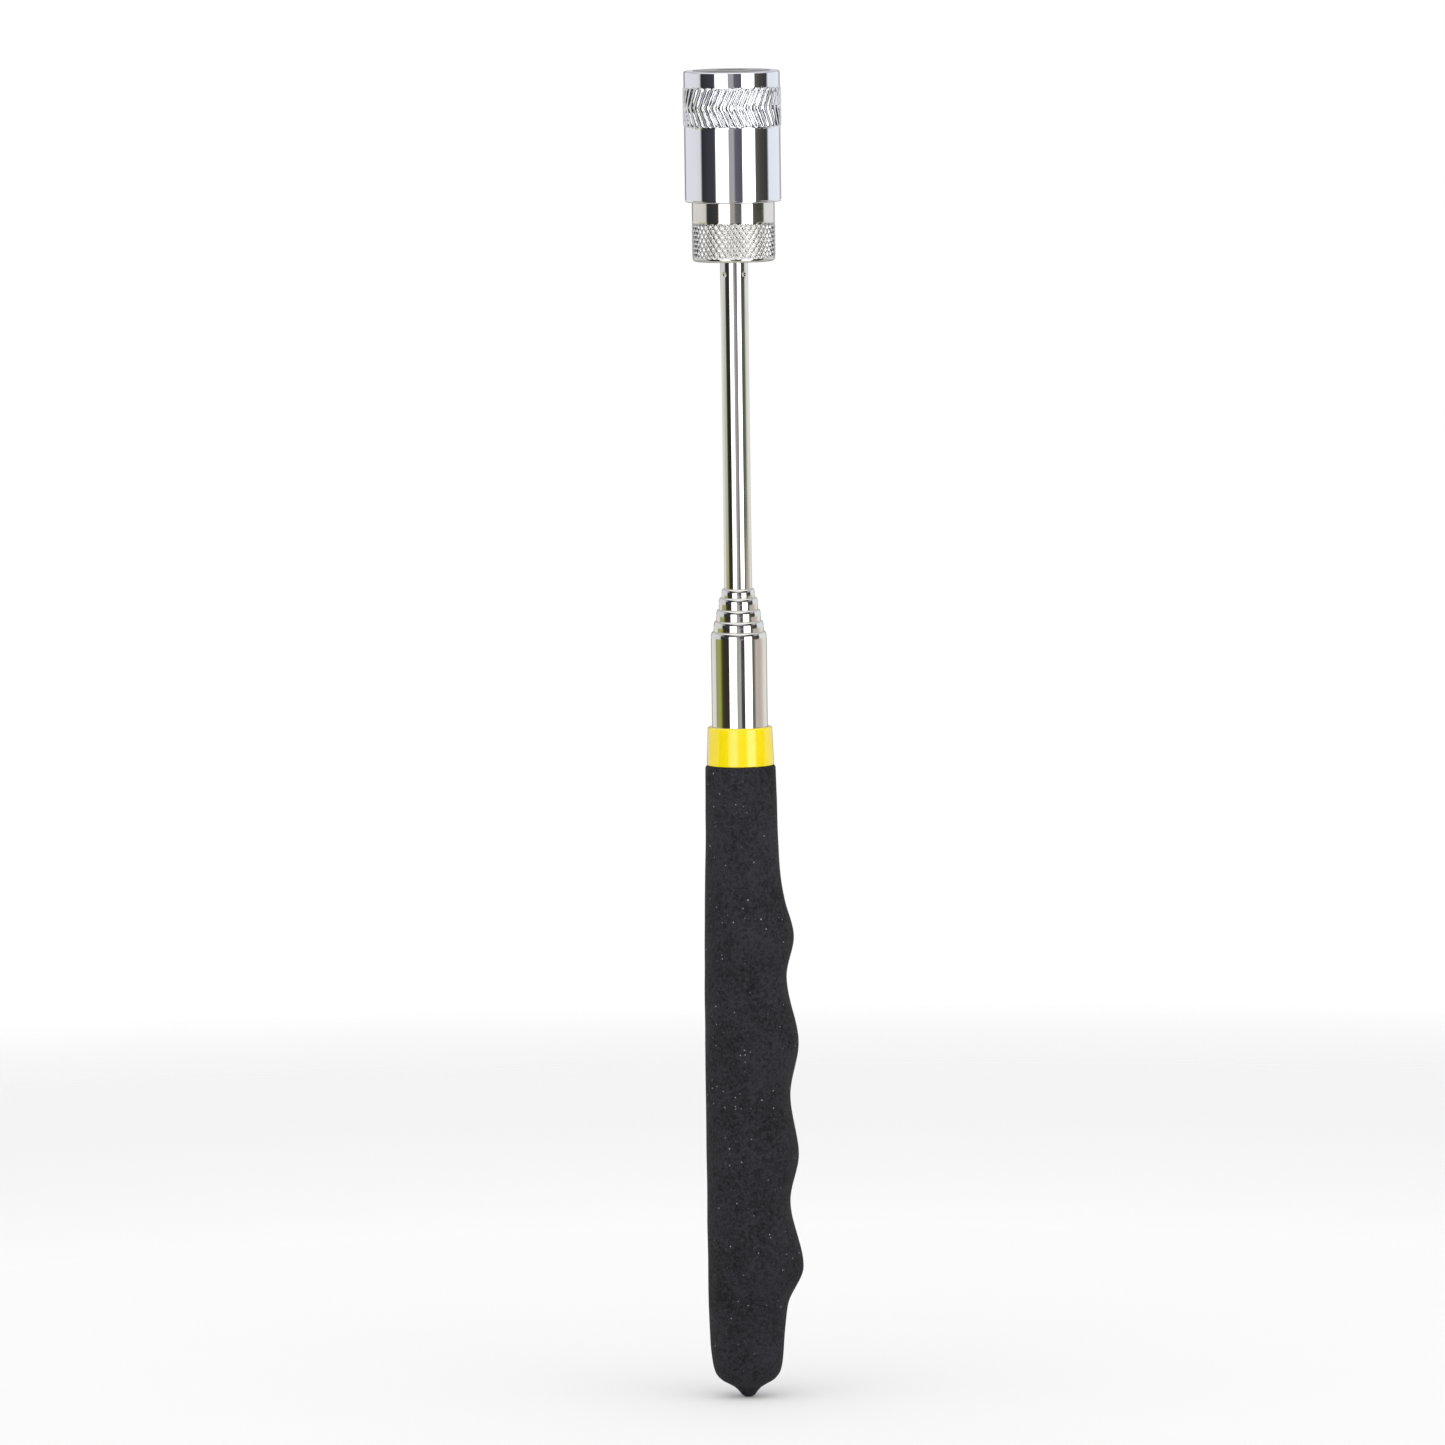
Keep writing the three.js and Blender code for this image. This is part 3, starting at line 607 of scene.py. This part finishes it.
# A 5 mm lamp: a clear dome cast round two stamped legs, one of which ends in the cup with the chip.
def makeLamp():
    foot, top = footAndTop("lamp")
    domeFoot = top - lamp["radius"]
    flangeTop = foot + lamp["flangeHeight"]
    base = [(0, foot), (lamp["flange"], foot, 0.12), (lamp["flange"], flangeTop, 0.12),
            (lamp["radius"], flangeTop)]
    dome = [(lamp["radius"] * math.cos(math.radians(a)),
             domeFoot + lamp["radius"] * math.sin(math.radians(a))) for a in range(0, 90, 6)]
    bm = turnProfile(base + dome + [(0, top)], lamp["steps"], closed=False)
    finishPiece("lampDome", bm, clearEpoxy, "head", ["lamp"])

    cupTop = foot + lamp["cupHeight"]
    cup = [(0, cupTop - 1.0), (lamp["postRadius"], cupTop - 1.0),
           (lamp["postRadius"] + 0.18, cupTop, 0.04), (lamp["postRadius"] - 0.1, cupTop, 0.03),
           (0.3, cupTop - 0.35), (0, cupTop - 0.35)]
    bm = turnProfile(cup, lamp["steps"], closed=False)
    for side in (-1, 1):
        leg = bmesh.ops.create_cube(bm, size=1)["verts"]
        height = cupTop - 0.6 - foot - 0.2
        bmesh.ops.scale(bm, verts=leg, vec=(lamp["legWidth"] * mm, lamp["legWidth"] * mm, height * mm))
        bmesh.ops.translate(bm, verts=leg, vec=(side * lamp["legGap"] / 2 * mm, 0,
                                                tipHeight + (foot + 0.2 + height / 2) * mm))
        # the top of each leg is stamped wider and reaches towards the cup
        for vert in leg:
            if vert.co.z > tipHeight + (foot + height / 2) * mm:
                if abs(vert.co.x) < lamp["legGap"] / 2 * mm:
                    vert.co.x = side * lamp["anvilReach"] * mm
    finishPiece("lampFrame", bm, tinnedLead, "head")

    bm = bmesh.new()
    bmesh.ops.create_uvsphere(bm, u_segments=24, v_segments=12, radius=lamp["phosphorRadius"] * mm)
    bmesh.ops.scale(bm, verts=bm.verts, vec=(1, 1, 0.55))
    bmesh.ops.translate(bm, verts=bm.verts, vec=(0, 0, tipHeight + (cupTop - 0.28) * mm))
    finishPiece("lampPhosphor", bm, phosphor, "head")


makeMagnet()
makeLamp()


# the turned, sprung and moulded pieces inside keep the frame's shapes and get their finish here
print("inner pieces")
innerFinishes = {
    "turnedBrass": dict(colors=("c8a24c", "b58c3a"), grain=1.6, stretch=(0.5, 0.5, 5.0), roughness=0.26,
                        metallic=1.0,
                        nodes=["bush_1", "bush_2", "bush_3", "bush_4", "bush_5", "contact_stud"]),
    "rolledBronzeStrip": dict(colors=("b0763e", "99602e"), grain=1.2, stretch=(1.0, 1.0, 3.0), roughness=0.32,
                              metallic=1.0,
                              nodes=["spring_1", "spring_2", "spring_3", "spring_4", "spring_5"]),
    "nickelledWire": dict(colors=("d8d6d0", "bcbab4"), grain=0.8, stretch=(1.0, 1.0, 1.0), roughness=0.22,
                          metallic=1.0, nodes=["contact_spring"]),
    "zincPlatedScrew": dict(colors=("c9ccd2", "a9adb4"), grain=0.9, stretch=(1.0, 1.0, 2.0), roughness=0.3,
                            metallic=1.0, nodes=["neck_screw"]),
    "drawnSteelCan": dict(colors=("cfcfcc", "b9b8b4"), grain=2.2, stretch=(1.0, 1.0, 0.3), roughness=0.28,
                          metallic=1.0, nodes=["cell_1", "cell_2", "cell_3"]),
    "turnedSteelPlug": dict(colors=("b8b7b2", "9f9e99"), grain=1.4, stretch=(0.5, 0.5, 5.0), roughness=0.34,
                            metallic=1.0, nodes=["neck_plug"]),
    "mouldedBlackNylon": dict(colors=("232326", "161618"), grain=0.7, stretch=(1.0, 1.0, 1.0), roughness=0.55,
                              metallic=0.0, nodes=["tube_plug", "cell_liner", "lamp_holder"]),
    "mouldedSealRubber": dict(colors=("1d1c1c", "121111"), grain=0.5, stretch=(1.0, 1.0, 1.0), roughness=0.7,
                              metallic=0.0, nodes=["seal_ring"]),
    "glassFibreBoard": dict(colors=("1f7a43", "17613a"), grain=0.4, stretch=(1.0, 1.0, 1.0), roughness=0.35,
                            metallic=0.0, nodes=["contact_board"]),
}
for name, look in innerFinishes.items():
    finish = innerMaterial(name, look)
    for node in look["nodes"]:
        dressNode(node, finish)
for node in ("lamp_lead_1", "lamp_lead_2"):
    dressNode(node, tinnedLead)


print("stage")
stageLook = dict(floorRadius=620, floorFade=240, floor="ebeae8")


def makeFloor():
    bm = bmesh.new()
    bmesh.ops.create_circle(bm, cap_ends=True, segments=128, radius=stageLook["floorRadius"] * mm)
    bmesh.ops.translate(bm, verts=bm.verts, vec=(0, 0, tipHeight))
    mesh = bpy.data.meshes.new("floor")
    bm.to_mesh(mesh)
    bm.free()
    floor = bpy.data.objects.new("floor", mesh)
    bpy.context.scene.collection.objects.link(floor)
    floor.visible_glossy = False  # the polished metal shows the studio below it, not a blank sheet
    material, tree, shader, place = startMaterial("palePaper")
    shader.inputs["Base Color"].default_value = linearColor(stageLook["floor"])
    shader.inputs["Roughness"].default_value = 0.9
    shader.inputs["Specular IOR Level"].default_value = 0.1
    distance = addNode(tree, "ShaderNodeVectorMath", {"operation": "LENGTH"}, {0: place})
    fade = addNode(tree, "ShaderNodeMapRange",
                   {"From Min": stageLook["floorFade"] * mm, "From Max": stageLook["floorRadius"] * mm,
                    "To Min": 1.0, "To Max": 0.0}, {"Value": distance.outputs["Value"]})
    tree.links.new(fade.outputs[0], shader.inputs["Alpha"])
    mesh.materials.append(material)


# A studio seen by direction, in degrees: 0 faces the main camera, positive towards +X. Two upright
# softboxes stand among pale walls and dark flags, with a dark rail over them and a bright ceiling. The
# walls change below the horizon, where the head, the thin tube and the wide tubes look: level, neck and
# low. The undersides show the pale ground.
studio = dict(
    softboxes=[(-40.5, -11, 1.9), (24.5, 54.5, 2.6)],
    level=[(-180, "d8d8dc"), (-168, "8c8a8c"), (-158, "8c8a8c"), (-148, "e6e6ea"), (-100, "e6e5e8"),
           (-84, "dcdce0"), (-79, "302f33"), (-60, "3c3c40"), (-47, "404046"), (-12, "a4a2a4"),
           (2, "aaa8aa"), (6, "62626a"), (22, "585860"), (56, "62605c"), (70, "4a4844"), (91, "3a3938"),
           (97, "eceff6"), (146, "f0f2f8"), (156, "acacb0"), (166, "a4a4a8"), (176, "d8d8dc")],
    neck=[(-180, "e0e0dc"), (-150, "f2f2ee"), (-118, "e4e7de"), (-104, "ccd2c2"), (-84, "c2cab6"),
          (-76, "4a4a40"), (-68, "2e2c28"), (-42, "2e2c2a"), (-12, "cac6ca"), (4, "a8a2a8"),
          (22, "948e96"), (56, "5e6254"), (84, "646a5a"), (98, "d6d8d0"), (118, "f0f0ec"),
          (160, "e8e8e4")],
    low=[(-180, "dcdad6"), (-168, "98968e"), (-158, "98968e"), (-148, "f2eee8"), (-116, "eeeae2"),
         (-108, "92a074"), (-97, "abb066"), (-84, "a2a64c"), (-76, "565c34"), (-68, "40392f"),
         (-42, "38332f"), (-12, "a4a8a2"), (6, "b8beb6"), (10, "4c464c"), (22, "46424a"), (56, "565a4c"),
         (66, "7c8070"), (74, "d2c6c2"), (90, "c8bcb8"), (104, "d2c8c2"), (122, "eeede8"),
         (146, "f2f1ec"), (156, "a8a69e"), (166, "98968e"), (176, "dcdad6")],
    rail=[(-180, "c4c4c8"), (-80, "bcbcbe"), (-62, "303034"), (-12, "303034"), (0, "4c4c50"),
          (12, "303034"), (60, "303034"), (80, "c4c4c6"), (179, "c4c4c8")],
    ceiling=[(-180, "c4c4c8"), (-110, "b0b0b4"), (-75, "e4e4e6"), (-40, "ffffff"), (40, "ffffff"),
             (75, "e4e4e6"), (110, "b0b0b4"), (179, "c4c4c8")],
    levelTo=0.0528, neckFrom=0.0562, neckTo=0.073, lowFrom=0.08, lowTo=0.13, levelAgain=0.2,
    ceilingPower=1.25, ground="cccbc8", softer=2.2,
    # how much of each part there is at a height, as the sine of the angle above the horizon
    bandHeights=[(-1, 0), (-0.80, 0), (-0.72, 0.62), (-0.34, 0.62), (-0.2, 1), (0.23, 1), (0.26, 0)],
    railHeights=[(-1, 0), (0.23, 0), (0.26, 1), (0.34, 1), (0.38, 0)],
    ceilingHeights=[(-1, 0), (0.34, 0), (0.38, 1), (0.74, 1), (0.82, 0.42)],
    groundHeights=[(-1, 1), (-0.80, 1), (-0.72, 0)],
)


def makeStudio():
    world = bpy.data.worlds.new("studio")
    bpy.context.scene.world = world
    world.use_nodes = True
    tree = world.node_tree
    background = tree.nodes["Background"]
    place = addNode(tree, "ShaderNodeTexCoord").outputs["Generated"]
    parts = addNode(tree, "ShaderNodeSeparateXYZ", links={"Vector": place})
    facing = addNode(tree, "ShaderNodeMath", {"operation": "MULTIPLY", 1: -1.0}, {0: parts.outputs["Y"]})
    angle = addNode(tree, "ShaderNodeMath", {"operation": "ARCTAN2"},
                    {0: parts.outputs["X"], 1: facing.outputs[0]})
    turn = addNode(tree, "ShaderNodeMapRange",
                   {"From Min": -math.pi, "From Max": math.pi, "To Min": 0.0, "To Max": 1.0},
                   {"Value": angle.outputs[0]})
    rise = addNode(tree, "ShaderNodeMapRange",
                   {"From Min": -1.0, "From Max": 1.0, "To Min": 0.0, "To Max": 1.0},
                   {"Value": parts.outputs["Z"]})

    around = {}
    for part in ("level", "neck", "low", "rail", "ceiling"):
        ramp = addNode(tree, "ShaderNodeValToRGB", links={"Fac": turn.outputs[0]})
        setRamp(ramp, [((degrees + 180) / 360, linearColor(tint)) for degrees, tint in studio[part]])
        around[part] = ramp.outputs["Color"]
    upward = {}
    for part, power in (("band", 1), ("rail", 1), ("ceiling", studio["ceilingPower"]), ("ground", 1)):
        ramp = addNode(tree, "ShaderNodeValToRGB", links={"Fac": rise.outputs[0]})
        setRamp(ramp, [((height + 1) / 2, [share * power] * 3 + [1])
                       for height, share in studio[part + "Heights"]])
        upward[part] = ramp.outputs["Color"]

    walls = around["level"]
    for above, below, part in (("levelTo", "neckFrom", "neck"), ("neckTo", "lowFrom", "low"),
                               ("lowTo", "levelAgain", "level")):
        sunken = addNode(tree, "ShaderNodeMapRange",
                         {"From Min": -studio[above], "From Max": -studio[below],
                          "To Min": 0.0, "To Max": 1.0}, {"Value": parts.outputs["Z"]})
        mixed = addNode(tree, "ShaderNodeMix", {"data_type": "RGBA"},
                        {0: sunken.outputs[0], 6: walls, 7: around[part]})
        walls = mixed.outputs[2]
    peak = max(box[2] for box in studio["softboxes"])
    stops = [(0.0, [0, 0, 0, 1])]
    for start, end, power in studio["softboxes"]:
        for degrees, value in ((start - 1.5, 0), (start, power), (end, power), (end + 1.5, 0)):
            stops.append(((degrees + 180) / 360, [value / peak] * 3 + [1]))
    boxes = addNode(tree, "ShaderNodeValToRGB", links={"Fac": turn.outputs[0]})
    setRamp(boxes, stops)
    lit = addNode(tree, "ShaderNodeVectorMath", {"operation": "SCALE", "Scale": peak},
                  {0: boxes.outputs["Color"]})
    bands = addNode(tree, "ShaderNodeVectorMath", {"operation": "ADD"},
                    {0: lit.outputs[0], 1: walls})
    room = addNode(tree, "ShaderNodeVectorMath", {"operation": "MULTIPLY"},
                   {0: bands.outputs[0], 1: upward["band"]})
    for part in ("rail", "ceiling"):
        room = addNode(tree, "ShaderNodeVectorMath", {"operation": "MULTIPLY_ADD"},
                       {0: around[part], 1: upward[part], 2: room.outputs[0]})
    room = addNode(tree, "ShaderNodeVectorMath",
                   {"operation": "MULTIPLY_ADD", 1: linearColor(studio["ground"])[:3]},
                   {0: upward["ground"], 2: room.outputs[0]})
    rays = addNode(tree, "ShaderNodeLightPath")
    shown = addNode(tree, "ShaderNodeMix", {"data_type": "RGBA", 7: (1.0, 1.0, 1.0, 1)},
                    {0: rays.outputs["Is Camera Ray"], 6: room.outputs[0]})
    # the soft part of the light is stronger than what the polish mirrors
    strength = addNode(tree, "ShaderNodeMath", {"operation": "MULTIPLY_ADD", 1: studio["softer"] - 1, 2: 1.0},
                       {0: rays.outputs["Is Diffuse Ray"]})
    tree.links.new(shown.outputs[2], background.inputs["Color"])
    tree.links.new(strength.outputs[0], background.inputs["Strength"])


view = dict(lens=300, sensor=36, frameHeight=258.9, centreHeight=121.9, centreSide=-3.12, cameraHeight=317,
            roll=0.75)


def makeCamera():
    data = bpy.data.cameras.new("camera")
    camera = bpy.data.objects.new("camera", data)
    bpy.context.scene.collection.objects.link(camera)
    data.lens, data.sensor_width = view["lens"], view["sensor"]
    distance = view["frameHeight"] / view["sensor"] * view["lens"]
    target = Vector((view["centreSide"] * mm, 0, tipHeight + view["centreHeight"] * mm))
    rise = (view["cameraHeight"] - view["centreHeight"]) * mm
    level = math.sqrt((distance * mm) ** 2 - rise ** 2)
    camera.location = target + Vector((0, -level, rise))
    camera.rotation_mode = "QUATERNION"
    look = (target - camera.location).to_track_quat("-Z", "Y")
    camera.rotation_quaternion = look @ Quaternion((0, 0, 1), math.radians(-view["roll"]))
    data.clip_start, data.clip_end = 0.05, 20
    bpy.context.scene.camera = camera


makeFloor()
makeStudio()
makeCamera()
bpy.context.scene.view_settings.view_transform = "Standard"
